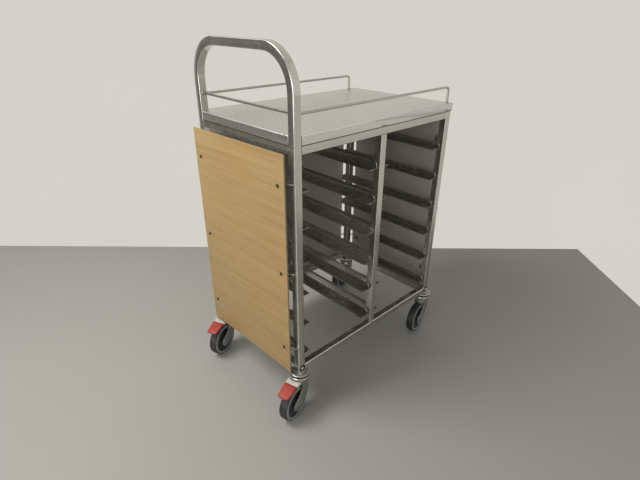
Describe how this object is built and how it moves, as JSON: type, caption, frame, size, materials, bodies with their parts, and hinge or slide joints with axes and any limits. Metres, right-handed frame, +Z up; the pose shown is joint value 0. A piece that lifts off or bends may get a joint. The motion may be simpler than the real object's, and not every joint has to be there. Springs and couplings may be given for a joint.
{
  "type": "tray trolley",
  "caption": "Stainless tray-clearing trolley: square-tube frame with hoop handle, railed worktop, bays of tray runners, oak boards and swivel castors.",
  "frame": {"origin": "centre of the bounding box, on the floor under the castors", "axes": "+X from the push handle to the far end, +Y from the open tray side to the back board, +Z up"},
  "size_m": [0.8272, 0.5314, 1.169],
  "materials": {
    "tube_steel": "satin stainless square tube, grained along its length",
    "sheet_steel": "satin stainless sheet",
    "rod_steel": "polished stainless bar",
    "laminate_board": "oak-print laminate outside, plain grey inside, light edge band",
    "fork_metal": "dull zinc-plated pressing",
    "wheel_plastic": "grey moulded nylon",
    "tread_rubber": "worn black rubber",
    "pedal_plastic": "red moulded plastic"
  },
  "bodies": {
    "frame": {"hoop_frame": "tube_steel", "post_mid_front": "tube_steel", "post_mid_back": "tube_steel", "post_right_front": "tube_steel", "post_right_back": "tube_steel", "rail_top_front": "tube_steel", "rail_top_back": "tube_steel", "rail_top_left": "tube_steel", "rail_top_right": "tube_steel", "rail_bottom_front": "tube_steel", "rail_bottom_back": "tube_steel", "rail_bottom_left": "tube_steel", "rail_bottom_right": "tube_steel", "top_shelf": "sheet_steel", "gallery_front": "rod_steel", "gallery_back": "rod_steel", "gallery_cross_bar": "rod_steel", "panel_left": "laminate_board", "panel_right": "laminate_board", "panel_back": "laminate_board", "runner_left_bay_left_1": "sheet_steel", "runner_left_bay_left_2": "sheet_steel", "runner_left_bay_left_3": "sheet_steel", "runner_left_bay_left_4": "sheet_steel", "runner_left_bay_left_5": "sheet_steel", "runner_left_bay_left_6": "sheet_steel", "runner_left_bay_right_1": "sheet_steel", "runner_left_bay_right_2": "sheet_steel", "runner_left_bay_right_3": "sheet_steel", "runner_left_bay_right_4": "sheet_steel", "runner_left_bay_right_5": "sheet_steel", "runner_left_bay_right_6": "sheet_steel", "runner_right_bay_left_1": "sheet_steel", "runner_right_bay_left_2": "sheet_steel", "runner_right_bay_left_3": "sheet_steel", "runner_right_bay_left_4": "sheet_steel", "runner_right_bay_left_5": "sheet_steel", "runner_right_bay_left_6": "sheet_steel", "runner_right_bay_right_1": "sheet_steel", "runner_right_bay_right_2": "sheet_steel", "runner_right_bay_right_3": "sheet_steel", "runner_right_bay_right_4": "sheet_steel", "runner_right_bay_right_5": "sheet_steel", "runner_right_bay_right_6": "sheet_steel"},
    "castor_fl": {"castor_fl_fork": "fork_metal"},
    "wheel_fl": {"castor_fl_wheel": "wheel_plastic", "castor_fl_tyre": "tread_rubber"},
    "brake_fl": {"castor_fl_brake": "pedal_plastic"},
    "castor_bl": {"castor_bl_fork": "fork_metal"},
    "wheel_bl": {"castor_bl_wheel": "wheel_plastic", "castor_bl_tyre": "tread_rubber"},
    "brake_bl": {"castor_bl_brake": "pedal_plastic"},
    "castor_fr": {"castor_fr_fork": "fork_metal"},
    "wheel_fr": {"castor_fr_wheel": "wheel_plastic", "castor_fr_tyre": "tread_rubber"},
    "castor_br": {"castor_br_fork": "fork_metal"},
    "wheel_br": {"castor_br_wheel": "wheel_plastic", "castor_br_tyre": "tread_rubber"}
  },
  "joints": [
    {"name": "fl_swivel", "type": "hinge", "parent": "frame", "child": "castor_fl", "pos_m": [-0.31186, -0.21784, 0.16], "axis": [0, 0, 1], "continuous": true},
    {"name": "fl_wheel_spin", "type": "hinge", "parent": "castor_fl", "child": "wheel_fl", "pos_m": [-0.35137, -0.22879, 0.0625], "axis": [0.2672, -0.9636, 0], "continuous": true},
    {"name": "fl_brake_press", "type": "hinge", "parent": "castor_fl", "child": "brake_fl", "pos_m": [-0.36775, -0.23334, 0.1385], "axis": [0.2672, -0.9636, 0], "range_deg": [0, 12]},
    {"name": "bl_swivel", "type": "hinge", "parent": "frame", "child": "castor_bl", "pos_m": [-0.31186, 0.23116, 0.16], "axis": [0, 0, 1], "continuous": true},
    {"name": "bl_wheel_spin", "type": "hinge", "parent": "castor_bl", "child": "wheel_bl", "pos_m": [-0.34987, 0.2158, 0.0625], "axis": [0.3746, -0.9272, 0], "continuous": true},
    {"name": "bl_brake_press", "type": "hinge", "parent": "castor_bl", "child": "brake_bl", "pos_m": [-0.36564, 0.20944, 0.1385], "axis": [0.3746, -0.9272, 0], "range_deg": [0, 12]},
    {"name": "fr_swivel", "type": "hinge", "parent": "frame", "child": "castor_fr", "pos_m": [0.37914, -0.21784, 0.16], "axis": [0, 0, 1], "continuous": true},
    {"name": "fr_wheel_spin", "type": "hinge", "parent": "castor_fr", "child": "wheel_fr", "pos_m": [0.33889, -0.22566, 0.0625], "axis": [0.1908, -0.9816, 0], "continuous": true},
    {"name": "br_swivel", "type": "hinge", "parent": "frame", "child": "castor_br", "pos_m": [0.37914, 0.23116, 0.16], "axis": [0, 0, 1], "continuous": true},
    {"name": "br_wheel_spin", "type": "hinge", "parent": "castor_br", "child": "wheel_br", "pos_m": [0.33904, 0.22264, 0.0625], "axis": [0.2079, -0.9781, 0], "continuous": true}
  ]
}
